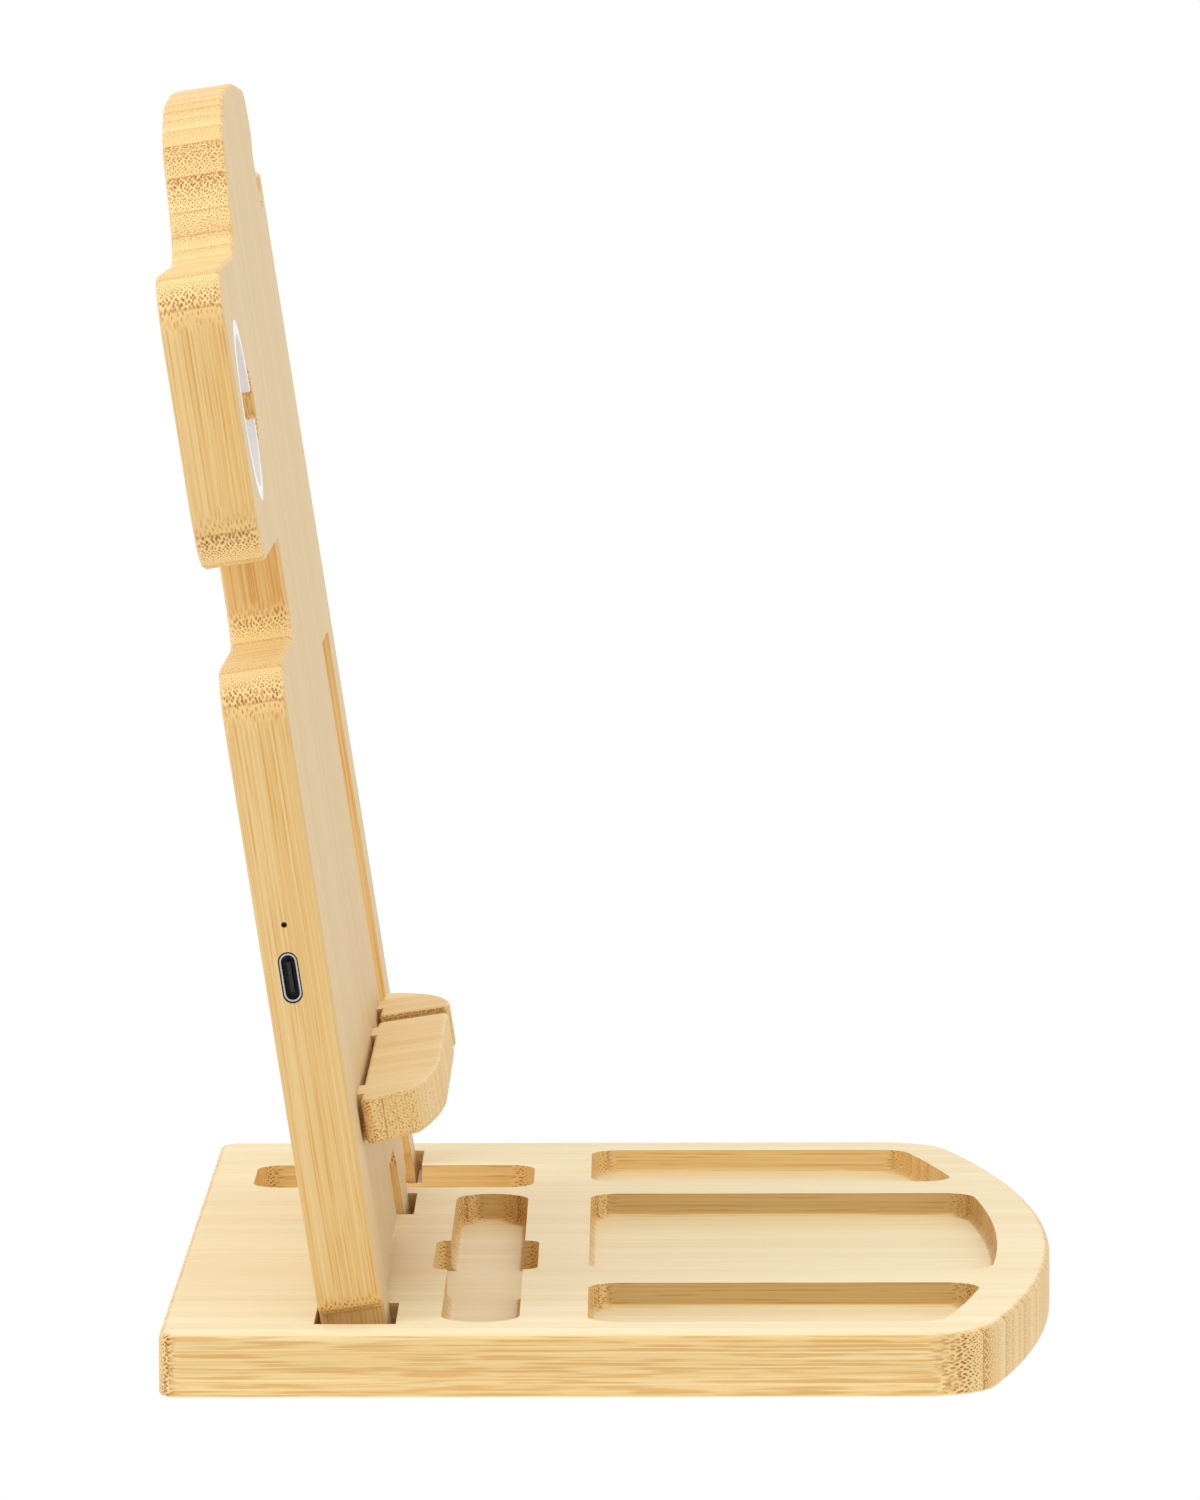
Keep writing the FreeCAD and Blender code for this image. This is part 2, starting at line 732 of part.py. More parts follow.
def board_screws():
    return Part.makeCompound([screw(x, level, board_screw_head_radius, board_screw_head,
                                    board_screw_radius, board_front_y-board_screw_grip,
                                    board_back_y+board_screw_head)
                              for x, level in board_screw_places()])


def circuit_board():
    """The board, with a tongue that carries the charging socket."""
    half = board_tongue_width*HALF
    plate = block(board_left_x, board_right_x, board_front_y, board_back_y, board_bottom, board_top)
    tongue = block(board_left_x-board_tongue_reach, board_left_x, board_front_y, board_back_y,
                   port_level-half, port_level+half)
    holes = [disc(x, level, board_screw_radius+screw_fit, 0, panel_thick)
             for x, level in board_screw_places()]
    return plate.fuse(tongue).removeSplitter().cut(holes)


def charging_coil():
    coil = disc(coil_x, coil_level, coil_radius, front_skin, front_skin+coil_thick)
    return coil.cut(disc(coil_x, coil_level, coil_bore, 0, panel_thick))


def ferrite_plate():
    front = front_skin+coil_thick
    return disc(coil_x, coil_level, ferrite_radius, front, front+ferrite_thick)


def foam_pad():
    return disc(coil_x, coil_level, foam_radius, front_skin+coil_thick+ferrite_thick, cover_front_y)


def coil_leads():
    """Two leads that lie on the bay's floor from the board's edge to the coil."""
    y = board_front_y+lead_radius+lead_lift
    leads = []
    for level in (port_level+lead_rise, port_level+lead_rise+lead_spacing):
        reach = math.sqrt((ferrite_radius+2*lead_radius)**2-(coil_level-level)**2)
        length = coil_x-reach-board_right_x
        leads.append(Part.makeCylinder(lead_radius, length, Vec(board_right_x, y, level), X_AXIS))
    return Part.makeCompound(leads)


def on_board(x, level, length, height, rise):
    """A part soldered to the back of the board, centred at (x, level)."""
    return block(x-length*HALF, x+length*HALF, board_back_y, board_back_y+rise,
                 level-height*HALF, level+height*HALF)


def board_middle():
    return (board_left_x+board_right_x)*HALF, (board_bottom+board_top)*HALF


def control_chips():
    x, level = board_middle()
    pitch = chip_side+chip_gap
    return Part.makeCompound([on_board(x, level+(i-(chip_count-1)*HALF)*pitch, chip_side, chip_side,
                                       chip_thick) for i in range(chip_count)])


def power_inductor():
    return on_board(board_right_x-inductor_side, board_middle()[1], inductor_side, inductor_side,
                    inductor_thick)


def filter_capacitors():
    """A row of capacitors near the lower edge of the board."""
    x = board_middle()[0]
    level = board_bottom+capacitor_length
    pitch = capacitor_width+capacitor_gap
    return Part.makeCompound([on_board(x+(i-(capacitor_count-1)*HALF)*pitch, level,
                                       capacitor_width, capacitor_length, capacitor_width)
                              for i in range(capacitor_count)])


def status_led():
    """A side light whose middle is in line with the pinhole."""
    return on_board(board_left_x+led_length*HALF, light_level, led_length, led_width,
                    2*(light_y-board_back_y))


def led_light_pipe():
    start = left_x+light_pipe_recess
    return Part.makeCylinder(pinhole_radius-light_pipe_fit, board_left_x-start,
                             Vec(start, light_y, light_level), X_AXIS)


def port_bezel():
    """A black sleeve round the mouth of the socket."""
    end = left_x+port_mouth
    sleeve = stadium(port_length-2*port_fit, port_width-2*port_fit, left_x+bezel_recess, end)
    return sleeve.cut(stadium(shell_length+2*port_fit, shell_width+2*port_fit, left_x, end+OVERRUN))


def usb_c_shell():
    mouth = left_x+shell_recess
    rear = mouth+shell_depth
    inside = 2*shell_wall
    hollow = stadium(shell_length-inside, shell_width-inside, mouth-OVERRUN, rear-shell_wall)
    return stadium(shell_length, shell_width, mouth, rear).cut(hollow)


def usb_c_tongue():
    """A block at the back of the shell with the flat tongue that a plug straddles."""
    mouth = left_x+shell_recess
    rear = mouth+shell_depth-shell_wall
    inside = 2*(shell_wall+port_fit)
    root = stadium(shell_length-inside, shell_width-inside, rear-tongue_block, rear)
    half_length = tongue_length*HALF
    half_thick = tongue_thick*HALF
    blade = block(mouth+tongue_recess, rear, port_y-half_thick, port_y+half_thick,
                  port_level-half_length, port_level+half_length)
    return root.fuse(blade).removeSplitter()


IN_PANEL = (watch_ring, phone_ledge_left, phone_ledge_right, back_cover, cover_screws, circuit_board,
            board_screws, charging_coil, ferrite_plate, foam_pad, coil_leads, control_chips,
            power_inductor, filter_capacitors, status_led, led_light_pipe, port_bezel, usb_c_shell,
            usb_c_tongue)

os.makedirs("parts", exist_ok=True)
save("base_board", base_board())
for foot_name, foot_x, foot_y in foot_places():
    save(foot_name, foot_pad(foot_x, foot_y))
save("upright_panel", upright_panel())
for make in IN_PANEL:
    save(make.__name__, panel_place(make()))
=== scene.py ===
import json
import math
import bpy
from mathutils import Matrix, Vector


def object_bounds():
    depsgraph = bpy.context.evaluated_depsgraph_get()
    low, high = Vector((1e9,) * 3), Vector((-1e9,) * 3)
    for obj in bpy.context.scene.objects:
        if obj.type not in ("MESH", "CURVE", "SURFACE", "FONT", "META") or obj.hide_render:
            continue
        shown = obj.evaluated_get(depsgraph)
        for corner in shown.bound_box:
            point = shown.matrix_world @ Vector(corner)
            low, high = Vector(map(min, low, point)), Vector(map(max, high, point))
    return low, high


# Charging station organizer: finishes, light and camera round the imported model. Metres, except in the
# bamboo, whose grain is given in millimetres.

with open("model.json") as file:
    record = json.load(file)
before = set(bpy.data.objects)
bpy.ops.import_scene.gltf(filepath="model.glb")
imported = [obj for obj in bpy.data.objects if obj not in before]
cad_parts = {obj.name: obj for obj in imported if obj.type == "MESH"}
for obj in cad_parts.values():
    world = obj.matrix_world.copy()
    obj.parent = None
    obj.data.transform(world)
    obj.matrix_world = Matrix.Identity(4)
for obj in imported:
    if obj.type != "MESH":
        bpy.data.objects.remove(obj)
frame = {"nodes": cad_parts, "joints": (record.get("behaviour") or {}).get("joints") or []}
cad_low, cad_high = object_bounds()
nodes = frame["nodes"]

MM = 0.001
PER_MM = 1000.0           # turns metres into millimetres
HALF = 0.5
BLACK = (0.0, 0.0, 0.0, 1.0)
WHITE = (1.0, 1.0, 1.0, 1.0)
FULL_COLOUR = 255
GAMMA = 2.2               # between a colour as the eye sees it and linear light


def colour(red, green, blue):
    """A colour from 0 to 255 as the eye sees it, in the renderer's linear light."""
    return tuple((value/FULL_COLOUR)**GAMMA for value in (red, green, blue))+(1.0,)


def direction(x, y, z):
    return Vector((x, y, z)).normalized()


lift = next(joint for joint in frame["joints"] if joint["name"] == "panel_lift")
PANEL_UP = direction(*lift["axis"])
PANEL_OUT = direction(0, -PANEL_UP.z, PANEL_UP.y)
SIDEWAYS = direction(1, 0, 0)
DEPTH = direction(0, 1, 0)
UPWARD = direction(0, 0, 1)


class Graph:
    """A short way to write a material's nodes."""

    NORMAL_OUTPUT = 1     # of the texture coordinates
    PLACE_OUTPUT = 3
    VALUE_OUTPUT = 1      # of a vector sum

    def __init__(self, name):
        self.material = bpy.data.materials.new(name)
        self.material.use_nodes = True
        self.tree = self.material.node_tree
        self.shader = self.tree.nodes["Principled BSDF"]

    def put(self, socket, value):
        if isinstance(value, bpy.types.NodeSocket):
            self.tree.links.new(value, socket)
        else:
            socket.default_value = value

    def surface(self, **inputs):
        """Set the shader's inputs, with underscores for the blanks in their names."""
        for key, value in inputs.items():
            self.put(self.shader.inputs[key.replace("_", " ")], value)

    def node(self, kind, output=0, settings=None, **inputs):
        """Add a node. An input is given by its name, or by its number after an underscore."""
        made = self.tree.nodes.new("ShaderNode"+kind)
        for key, value in (settings or {}).items():
            setattr(made, key, value)
        for key, value in inputs.items():
            self.put(made.inputs[int(key[1:]) if key[1:].isdigit() else key], value)
        return made.outputs[output]

    def math(self, operation, a, b=0.0):
        return self.node("Math", settings={"operation": operation}, _0=a, _1=b)

    def plus(self, a, b):
        return self.math("ADD", a, b)

    def minus(self, a, b):
        return self.math("SUBTRACT", a, b)

    def times(self, a, b):
        return self.math("MULTIPLY", a, b)

    def absolute(self, value):
        return self.math("ABSOLUTE", value)

    def dot(self, a, b):
        return self.node("VectorMath", self.VALUE_OUTPUT, {"operation": "DOT_PRODUCT"}, _0=a, _1=b)

    def vector(self, x, y, z):
        return self.node("CombineXYZ", X=x, Y=y, Z=z)

    def ramp(self, value, low, high, to_low=0.0, to_high=1.0):
        """A smooth step of a value from one range to another."""
        made = self.tree.nodes.new("ShaderNodeMapRange")
        made.interpolation_type = "SMOOTHSTEP"
        for socket, number in zip(made.inputs, (value, low, high, to_low, to_high)):
            self.put(socket, number)
        return made.outputs[0]

    def mix(self, share, a, b, blend="MIX"):
        made = self.tree.nodes.new("ShaderNodeMix")
        made.data_type = "RGBA"
        made.blend_type = blend
        colours = [socket for socket in made.inputs if socket.type == "RGBA"]
        self.put(made.inputs[0], share)
        self.put(colours[0], a)
        self.put(colours[1], b)
        return next(socket for socket in made.outputs if socket.type == "RGBA")

    def noise(self, vector, scale, detail=2.0):
        return self.node("TexNoise", Vector=vector, Scale=scale, Detail=detail)

    def chance(self, value, draw):
        """A chance from 0 to 1 that is the same wherever the value is, and another for each draw."""
        return self.node("TexWhiteNoise", settings={"noise_dimensions": "1D"}, W=self.plus(value, draw))

    def stretched(self, place, grain, detail=1.0):
        """Noise that changes fast across the grain and slowly along it."""
        across, along = grain
        a, b, c = place
        return self.noise(self.vector(self.times(a, across), self.times(b, along), self.times(c, across)),
                          1.0, detail)

    def place(self):
        return self.node("TexCoord", self.PLACE_OUTPUT)

    def normal(self):
        return self.node("TexCoord", self.NORMAL_OUTPUT)

    def bump(self, height, strength, distance):
        self.surface(Normal=self.node("Bump", Strength=strength, Distance=distance, Height=height))


# Bamboo: sizes in millimetres, grains in changes per millimetre across and along the fibres

BASE_FACE = colour(249, 236, 199), colour(238, 215, 166)
# The panel's face and edge colours are darker than the base's: painted shade for the panel, which stands
# in less light, with a yellower tone of its own
PANEL_FACE_WITH_SHADE = colour(228, 202, 154), colour(217, 186, 131)
LEDGE_FACE = colour(254, 230, 176), colour(234, 194, 128)
BASE_EDGE = colour(252, 228, 174), colour(238, 196, 118)
PANEL_EDGE_WITH_SHADE = colour(240, 210, 152), colour(224, 174, 92)
LEDGE_EDGE = colour(246, 218, 160), colour(229, 180, 94)
END_LIGHT = colour(244, 211, 147)
END_DARK = colour(231, 189, 116)
BUNDLE = colour(162, 98, 34)
STREAK = colour(204, 134, 30)
GLUE = colour(178, 118, 48)
# Darkening for pocket and gap walls: painted shade, in the pockets partly also the darker milled cut
POCKET_SHADE_AND_MILLING = colour(221, 214, 204)

STRIP_WIDTH = 6.0         # of the glued strips
BASE_SHIFT = 3.6          # of the strips in each board, sideways
PANEL_SHIFT = 32.7
COVER_SHIFT = 71.3
LEDGE_SHIFT = 54.9
TURNED_BEYOND = -70.0     # strips left of this have their dense side to the left
EITHER_BEYOND = -30.0     # strips right of this have it at either side
TONE_DRAW = 0.0           # these give each strip chances of its own
TURN_DRAW = 0.25
KIND_DRAW = 0.5
SEAM_START = 0.465        # of a strip's width from its middle, where the glue line begins to show
SEAM_FULL = 0.492
SEAM_SHARE = 0.05
SEAM_END_SHARE = 0.4      # more of it shows on cut faces

BUNDLES_PER_MM = 1.7      # fibre bundles across the grain
LEDGE_BUNDLES_PER_MM = 2.125
BUNDLE_UNEVENNESS = 0.55  # from 0 for a strict lattice to 1
LATTICE_TURN = math.sqrt(0.5)  # sets the rows of bundles on the diagonal
LENGTHWISE_SHARE = 0.8    # of the lattice's fineness, along the grain in a ledge
WANDER = 1.2              # how far a bundle strays
WANDER_GRAIN = 0.12, 0.02
BUNDLE_CORE = 0.1         # radii of a bundle, in steps of the lattice
BUNDLE_RIM = 0.23
BUNDLE_GROWTH = 0.24      # of both where bundles are dense
DENSITY_POWER = 1.4       # how fast the bundles thin out from the strip's dense side
SIDE_DENSITY = 0.3        # added on the side edges
LEAST_DENSITY = 0.5       # of a strip, and the range above it
DENSITY_RANGE = 0.7
LEDGE_LEAST_DENSITY = 1.0
LEDGE_DENSITY_RANGE = 0.3

END_FACING = 0.08, 0.6    # how far a face looks along the grain, where dots begin and where all show
SIDE_FACING = 0.4, 0.9    # how far a face looks sideways to be an edge
FLAT_FACING = 0.4, 0.9    # how far a ledge's face looks up or down to have no dots
FINE_GRAIN = 2.6, 0.012
BROAD_GRAIN = 0.5, 0.006
GRAIN_DETAIL = 2.0
FINE_RANGE = 0.3, 0.7
TONE_SHARE = 0.4          # of a face's tone that is its strip's; the rest drifts along the grain
DRIFT_SHARE = 0.6
END_TONE_SHARE = 0.5      # of a cut face's darkness that is its strip's
END_OUTWARD_SHARE = 0.15  # of it that grows towards the strip's dense side
DASH_GRAIN = 1.6, 0.07    # breaks the streaks up
DASH_RANGE = 0.4, 0.62
DASH_LEAST = 0.15
STREAK_SHARE = 0.1
STREAK_SIDE_SHARE = 0.38  # more of them shows on the side edges
DOT_SHARE = 0.52
LEDGE_DOT_SHARE = 0.25

# Painted shade in the base's pockets and the ledges' gap: their walls are darkened, in the pockets partly
# also for the darker milled cut
POCKET_MARGIN = 11.0      # from the base's side edges; a side wall further in belongs to a pocket
POCKETS_END = 75.0        # how far back the base's pockets reach
LEDGE_GAP_REACH = 45.0    # the ledges' ends nearer to the middle than this look into their gap
WALL_BLEND = 2.0
SIDE_WALL_FACING = 0.85, 0.95
END_WALL_FACING = 0.1, 0.4
WALL_FADE = 45.0, 90.0    # right of the middle, between which the walls grow lighter
FADED_SHARE = 0.15

BAMBOO_SKIN = 0.2, 0.8
BAMBOO_ROUGHNESS = 0.46, 0.6
BAMBOO_SPECULAR = 0.3
GRAIN_HEIGHT_SHARE = 0.4
GRAIN_STRENGTH = 0.15
GRAIN_HEIGHT = 0.12*MM    # metres


def strips(g, sideways, shift):
    """The glued strips: where a point lies in its strip's width, how near it is to the strip's dense
    side, and the strip's own tone and kind."""
    strip_place = g.math("DIVIDE", g.plus(sideways, shift), STRIP_WIDTH)
    strip = g.math("FLOOR", strip_place)
    within = g.math("FRACT", strip_place)
    middle = g.minus(g.times(g.plus(strip, HALF), STRIP_WIDTH), shift)
    either = g.times(g.math("GREATER_THAN", middle, EITHER_BEYOND),
                     g.math("GREATER_THAN", g.chance(strip, TURN_DRAW), HALF))
    turned = g.math("MAXIMUM", g.math("LESS_THAN", middle, TURNED_BEYOND), either)
    outward = g.absolute(g.minus(turned, within))
    return within, outward, g.chance(strip, TONE_DRAW), g.chance(strip, KIND_DRAW)


def bundles(g, place, density, dotted_sides):
    """Fibre bundles that stand in a lattice across the grain, wider where they are dense."""
    a, b, c = place
    stray = g.times(g.stretched(place, WANDER_GRAIN), WANDER)
    a_strayed = g.plus(a, stray)
    c_strayed = g.minus(c, stray)
    lattice = g.vector(g.times(g.plus(a_strayed, c_strayed), LATTICE_TURN),
                       g.times(g.minus(a_strayed, c_strayed), LATTICE_TURN),
                       g.times(b, LENGTHWISE_SHARE))
    spot = g.node("TexVoronoi", settings={"voronoi_dimensions": "3D" if dotted_sides else "2D"},
                  Vector=lattice, Scale=LEDGE_BUNDLES_PER_MM if dotted_sides else BUNDLES_PER_MM,
                  Randomness=BUNDLE_UNEVENNESS)
    return g.ramp(g.minus(spot, g.times(density, BUNDLE_GROWTH)), BUNDLE_CORE, BUNDLE_RIM, 1.0, 0.0)


def pocket_shade_and_milling_walls(g, normal, axes, sideways, lengthwise, reach_across, reach_along):
    """Where a wall belongs to a pocket or a gap, darkened as painted shade; in the pockets partly also for
    the darker cut of the cutter.
    """
    along, across, _ = axes
    inside = g.ramp(g.absolute(sideways), reach_across, reach_across+WALL_BLEND, 1.0, 0.0)
    walls = g.times(g.ramp(g.absolute(g.dot(normal, across)), *SIDE_WALL_FACING), inside)
    if reach_along:
        before_end = g.ramp(lengthwise, reach_along, reach_along+WALL_BLEND, 1.0, 0.0)
        end_walls = g.times(g.ramp(g.dot(normal, along), *END_WALL_FACING), before_end)
        walls = g.math("MAXIMUM", walls, end_walls)
    return g.times(walls, g.ramp(sideways, *WALL_FADE, 1.0, FADED_SHARE))


def bamboo(name, axes, shift, face_colours, edge_colours, dotted_sides=False,
           reach_across=None, reach_along=None):
    """Glued strips with fibres along the grain. Where a face cuts the fibres they show as dots.

    The axes run along the grain, across the strips and through the board. Dotted sides show dots on all
    but the flat faces. The reaches say how far from the middle a wall still belongs to a pocket or gap;
    such walls are darkened as painted shade, in the pockets partly also for the darker milled cut.
    """
    g = Graph(name)
    along, across, through = axes
    normal = g.normal()
    millimetres = g.node("VectorMath", settings={"operation": "SCALE"}, _0=g.place(), Scale=PER_MM)
    sideways = g.dot(millimetres, across)
    lengthwise = g.dot(millimetres, along)
    place = g.plus(sideways, shift), lengthwise, g.dot(millimetres, through)
    if dotted_sides:
        end = g.ramp(g.absolute(g.dot(normal, through)), *FLAT_FACING, 1.0, 0.0)
    else:
        end = g.ramp(g.absolute(g.dot(normal, along)), *END_FACING)
    side = g.ramp(g.absolute(g.dot(normal, across)), *SIDE_FACING)

    within, outward, tone, kind = strips(g, sideways, shift)
    if dotted_sides:
        density = g.plus(g.times(kind, LEDGE_DENSITY_RANGE), LEDGE_LEAST_DENSITY)
    else:
        thinning = g.plus(g.math("POWER", outward, DENSITY_POWER), g.times(side, SIDE_DENSITY))
        density = g.times(thinning, g.plus(g.times(kind, DENSITY_RANGE), LEAST_DENSITY))
    bundle = bundles(g, place, density, dotted_sides)

    fine = g.stretched(place, FINE_GRAIN, GRAIN_DETAIL)
    broad = g.stretched(place, BROAD_GRAIN, GRAIN_DETAIL)
    drift = g.plus(g.times(g.ramp(fine, *FINE_RANGE), HALF), g.times(broad, HALF))
    face = g.mix(g.plus(g.times(tone, TONE_SHARE), g.times(drift, DRIFT_SHARE)), *face_colours)
    edge = g.mix(drift, *edge_colours)
    cut_tone = g.plus(g.times(tone, END_TONE_SHARE), g.times(outward, END_OUTWARD_SHARE))
    body = g.mix(end, g.mix(side, face, edge), g.mix(cut_tone, END_LIGHT, END_DARK))

    dashes = g.ramp(g.stretched(place, DASH_GRAIN), *DASH_RANGE, DASH_LEAST, 1.0)
    streaks = g.times(g.plus(g.times(side, STREAK_SIDE_SHARE), STREAK_SHARE), dashes)
    dots = g.times(end, LEDGE_DOT_SHARE if dotted_sides else DOT_SHARE)
    body = g.mix(g.times(bundle, g.plus(dots, streaks)), body, g.mix(end, STREAK, BUNDLE))
    seam = g.ramp(g.absolute(g.minus(within, HALF)), SEAM_START, SEAM_FULL)
    body = g.mix(g.times(seam, g.plus(g.times(end, SEAM_END_SHARE), SEAM_SHARE)), body, GLUE)
    # Painted shade: walls of the pockets and of the ledges' gap are darkened, in the pockets partly also
    # for the darker milled cut
    if reach_across:
        walls = pocket_shade_and_milling_walls(g, normal, axes, sideways, lengthwise, reach_across, reach_along)
        body = g.mix(walls, body, POCKET_SHADE_AND_MILLING, "MULTIPLY")

    g.surface(Base_Color=body, Roughness=g.ramp(fine, *BAMBOO_SKIN, *BAMBOO_ROUGHNESS),
              Specular_IOR_Level=BAMBOO_SPECULAR)
    height = g.minus(g.times(fine, GRAIN_HEIGHT_SHARE), g.times(bundle, end))
    g.bump(height, GRAIN_STRENGTH, GRAIN_HEIGHT)
    return g.material


# Other finishes: noise scales are in changes per metre

RING_WHITE = colour(244, 245, 249), colour(238, 240, 246)
SOCKET_BLACK = colour(30, 30, 32), colour(20, 20, 21)
FOOT_BLACK = colour(44, 44, 45), colour(34, 34, 35)
FERRITE_GREY = colour(70, 70, 74), colour(52, 52, 55)
FOAM_GREY = colour(140, 140, 143), colour(120, 120, 124)
BOARD_GREEN = colour(24, 104, 62), colour(18, 84, 50)
CERAMIC_TAN = colour(200, 172, 134), colour(184, 154, 116)
CLEAR_WHITE = colour(235, 240, 245), colour(215, 225, 232)
STEEL_GREY = colour(205, 206, 208), colour(168, 169, 172)
COPPER_RED = colour(214, 142, 92), colour(178, 104, 60)

RING_ROUGHNESS = 0.34
SOCKET_ROUGHNESS = 0.42
RUBBER_ROUGHNESS = 0.8
FERRITE_ROUGHNESS = 0.7
FOAM_ROUGHNESS = 0.9
BOARD_ROUGHNESS = 0.4
CERAMIC_ROUGHNESS = 0.5
STEEL_ROUGHNESS = 0.28
COPPER_ROUGHNESS = 0.35
CLEAR_ROUGHNESS = 0.08, 0.16
CLEAR_SHARE = 0.8         # of the light that passes through

CLOUD_SCALE = 60.0
CLOUD_DETAIL = 3.0
CLOUD_RANGE = 0.3, 0.7
PLASTIC_GRAIN = 900.0
PLASTIC_STRENGTH = 0.05
RUBBER_GRAIN = 1500.0
RUBBER_STRENGTH = 0.2
FOAM_GRAIN = 1400.0
FOAM_STRENGTH = 0.4
CLEAR_GRAIN = 800.0
SKIN_RANGE = 0.2, 0.8
SKIN_SPREAD = 0.06        # of the roughness, either way
SKIN_HEIGHT = 0.1*MM
DRAWN_SCALE = (300.0, 4000.0, 4000.0)
DRAWN_SPREAD = 0.08       # of the roughness, either way


def moulded(name, colours, roughness, grain=PLASTIC_GRAIN, strength=PLASTIC_STRENGTH):
    """A moulded plastic or rubber with a fine skin and slight clouding."""
    g = Graph(name)
    place = g.place()
    cloud = g.noise(place, CLOUD_SCALE, CLOUD_DETAIL)
    skin = g.noise(place, grain)
    g.surface(Base_Color=g.mix(g.ramp(cloud, *CLOUD_RANGE), *colours),
              Roughness=g.ramp(skin, *SKIN_RANGE, roughness-SKIN_SPREAD, roughness+SKIN_SPREAD))
    g.bump(skin, strength, SKIN_HEIGHT)
    return g.material


def metal(name, colours, roughness):
    """A satin metal with drawn lines."""
    g = Graph(name)
    drawn = g.node("VectorMath", settings={"operation": "MULTIPLY"}, _0=g.place(), _1=DRAWN_SCALE)
    line = g.noise(drawn, 1.0)
    g.surface(Metallic=1.0, Base_Color=g.mix(line, *colours),
              Roughness=g.ramp(line, *SKIN_RANGE, roughness-DRAWN_SPREAD, roughness+DRAWN_SPREAD))
    return g.material


def clear(name, colours):
    """A clear moulded plastic."""
    g = Graph(name)
    skin = g.noise(g.place(), CLEAR_GRAIN)
    g.surface(Base_Color=g.mix(skin, *colours), Transmission_Weight=CLEAR_SHARE,
              Roughness=g.ramp(skin, *SKIN_RANGE, *CLEAR_ROUGHNESS))
    return g.material


def dress(material, *names):
    for name in names:
        made = nodes[name]
        made.data.materials.clear()
        made.data.materials.append(material)


panel_axes = PANEL_UP, SIDEWAYS, PANEL_OUT
dress(bamboo("bamboo_base", (DEPTH, SIDEWAYS, UPWARD), BASE_SHIFT, BASE_FACE, BASE_EDGE,
             reach_across=cad_high[0]*PER_MM-POCKET_MARGIN, reach_along=POCKETS_END),
      "base_board")
dress(bamboo("bamboo_panel", panel_axes, PANEL_SHIFT, PANEL_FACE_WITH_SHADE, PANEL_EDGE_WITH_SHADE), "upright_panel")
dress(bamboo("bamboo_cover", panel_axes, COVER_SHIFT, PANEL_FACE_WITH_SHADE, PANEL_EDGE_WITH_SHADE), "back_cover")
dress(bamboo("bamboo_ledges", (PANEL_OUT, SIDEWAYS, PANEL_UP), LEDGE_SHIFT, LEDGE_FACE, LEDGE_EDGE,
             dotted_sides=True, reach_across=LEDGE_GAP_REACH),
      "phone_ledge_left", "phone_ledge_right")
dress(moulded("white_plastic", RING_WHITE, RING_ROUGHNESS), "watch_ring")
dress(moulded("black_plastic", SOCKET_BLACK, SOCKET_ROUGHNESS),
      "usb_c_tongue", "port_bezel", "control_chips")
dress(moulded("foot_rubber", FOOT_BLACK, RUBBER_ROUGHNESS, RUBBER_GRAIN, RUBBER_STRENGTH),
      "foot_front_left", "foot_front_right", "foot_back_left", "foot_back_right")
dress(moulded("ferrite", FERRITE_GREY, FERRITE_ROUGHNESS), "ferrite_plate", "power_inductor")
dress(moulded("foam", FOAM_GREY, FOAM_ROUGHNESS, FOAM_GRAIN, FOAM_STRENGTH), "foam_pad")
dress(moulded("board_laminate", BOARD_GREEN, BOARD_ROUGHNESS), "circuit_board")
dress(moulded("ceramic", CERAMIC_TAN, CERAMIC_ROUGHNESS), "filter_capacitors")
dress(clear("clear_plastic", CLEAR_WHITE), "status_led", "led_light_pipe")
dress(metal("steel", STEEL_GREY, STEEL_ROUGHNESS), "cover_screws", "board_screws", "usb_c_shell")
dress(metal("copper", COPPER_RED, COPPER_ROUGHNESS), "charging_coil", "coil_leads")


# Stage, light and camera

SHEET_GLOW = 1.02
SHEET_REACH = 40.0        # to the sides and behind the camera
BACKDROP_X = 6.0
BACKDROP_HEIGHT = 3.0
WORLD_STRENGTH = 0.76
LIGHT_AIM = (0, 0, 0.1)
TOP_PLACE = (-0.1, -0.15, 1.3)
TOP_SIZE = 1.2
TOP_POWER = 4.0
REAR_PLACE = (-0.3, 0.9, 1.2)
REAR_SIZE = 0.8
REAR_POWER = 6.5
CAMERA_PLACE = (-1.54907, -0.00355, 0.26408)
CAMERA_AIM = (0.0, 0.00117, 0.10801)
CAMERA_ROLL = math.radians(0.1159)
CAMERA_LENS = 190.642     # millimetres, as is the sensor's width
SENSOR_WIDTH = 36.0


def turn_to(aim, place):
    return (Vector(aim)-Vector(place)).to_track_quat("-Z", "Y").to_euler()


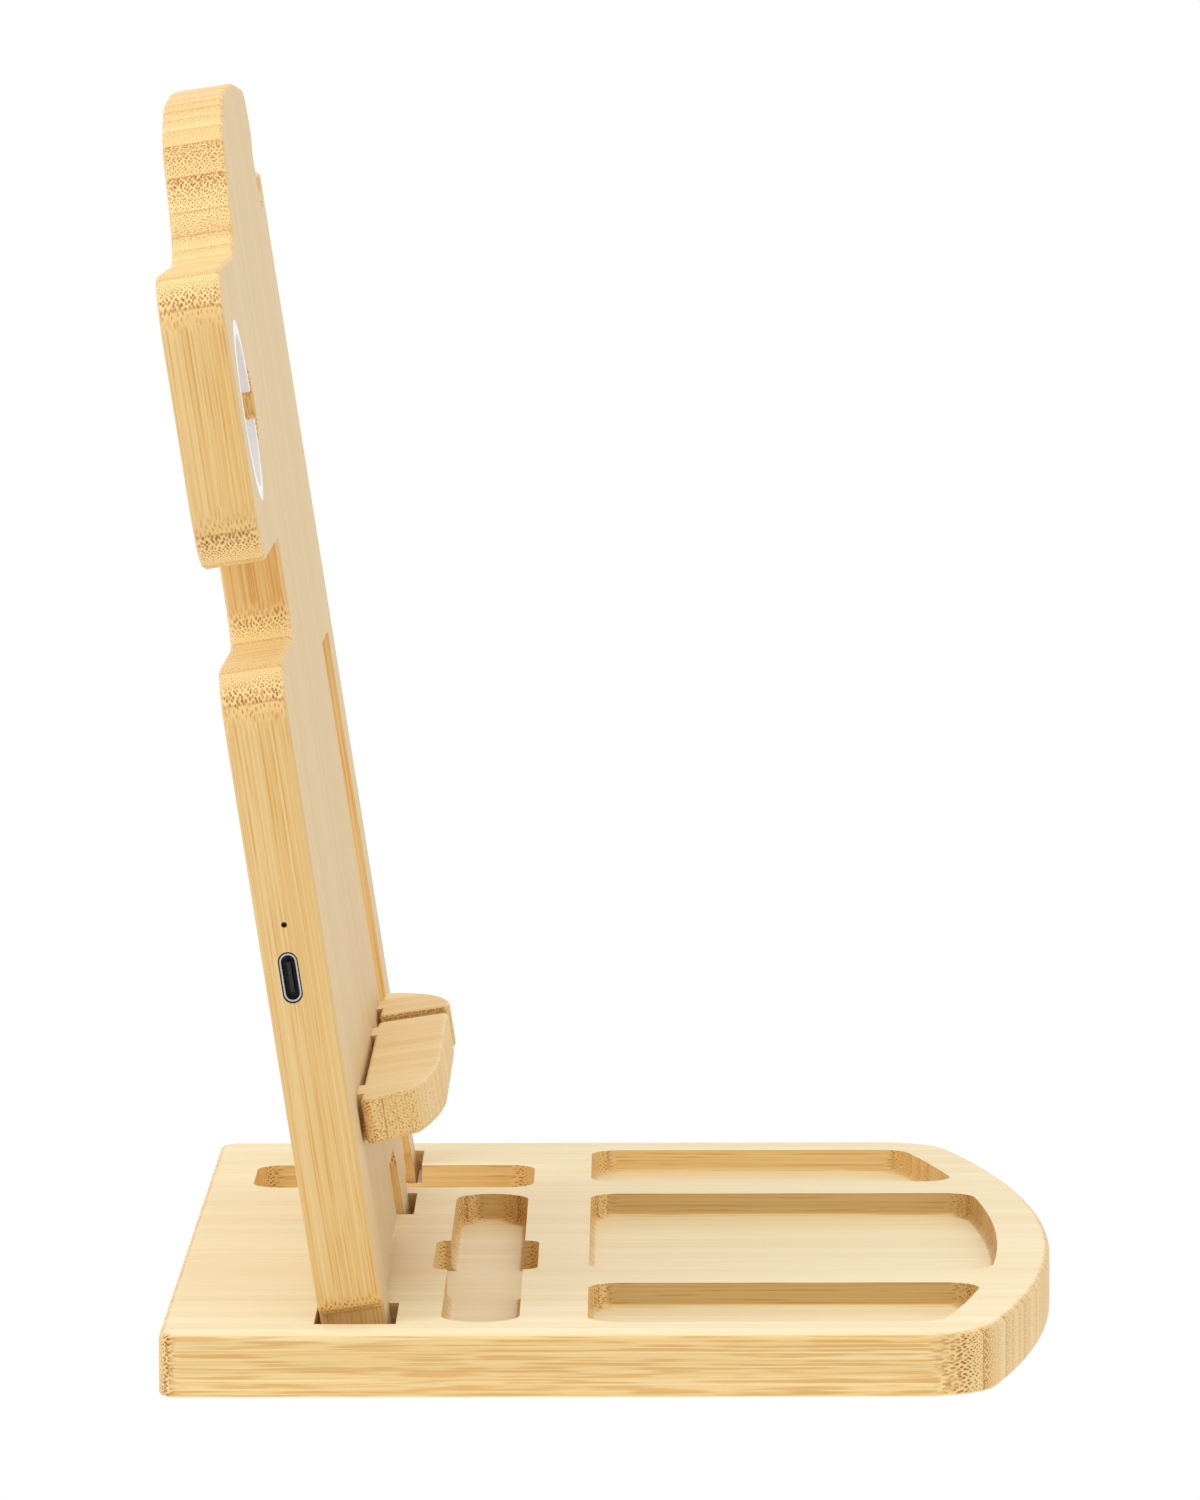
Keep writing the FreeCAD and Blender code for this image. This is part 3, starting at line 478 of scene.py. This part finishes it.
def white_sheet(name, corners):
    """A flat white sheet of the stage that glows evenly, so that nothing throws a shadow on it."""
    mesh = bpy.data.meshes.new(name)
    mesh.from_pydata(corners, [], [(0, 1, 2, 3)])
    made = bpy.data.objects.new(name, mesh)
    bpy.context.scene.collection.objects.link(made)
    g = Graph(name)
    g.surface(Base_Color=BLACK, Specular_IOR_Level=0.0, Emission_Color=WHITE, Emission_Strength=SHEET_GLOW)
    mesh.materials.append(g.material)


def stage():
    left, right = -SHEET_REACH, SHEET_REACH
    white_sheet("floor", [(-SHEET_REACH, left, 0), (BACKDROP_X, left, 0),
                          (BACKDROP_X, right, 0), (-SHEET_REACH, right, 0)])
    white_sheet("backdrop", [(BACKDROP_X, left, 0), (BACKDROP_X, right, 0),
                             (BACKDROP_X, right, BACKDROP_HEIGHT), (BACKDROP_X, left, BACKDROP_HEIGHT)])


def softbox(name, place, size, power):
    data = bpy.data.lights.new(name, "AREA")
    data.shape = "RECTANGLE"
    data.size = size
    data.size_y = size
    data.energy = power
    made = bpy.data.objects.new(name, data)
    made.location = place
    made.rotation_euler = turn_to(LIGHT_AIM, place)
    bpy.context.scene.collection.objects.link(made)


def light():
    world = bpy.data.worlds.new("studio")
    world.use_nodes = True
    background = world.node_tree.nodes["Background"]
    background.inputs["Color"].default_value = WHITE
    background.inputs["Strength"].default_value = WORLD_STRENGTH
    bpy.context.scene.world = world
    softbox("top_softbox", TOP_PLACE, TOP_SIZE, TOP_POWER)
    softbox("rear_softbox", REAR_PLACE, REAR_SIZE, REAR_POWER)
    bpy.context.scene.view_settings.view_transform = "Standard"


def camera():
    data = bpy.data.cameras.new("camera")
    data.sensor_width = SENSOR_WIDTH
    data.lens = CAMERA_LENS
    made = bpy.data.objects.new("camera", data)
    made.location = CAMERA_PLACE
    made.rotation_euler = turn_to(CAMERA_AIM, CAMERA_PLACE)
    made.rotation_euler.rotate_axis("Z", -CAMERA_ROLL)
    bpy.context.scene.collection.objects.link(made)
    bpy.context.scene.camera = made


stage()
light()
camera()
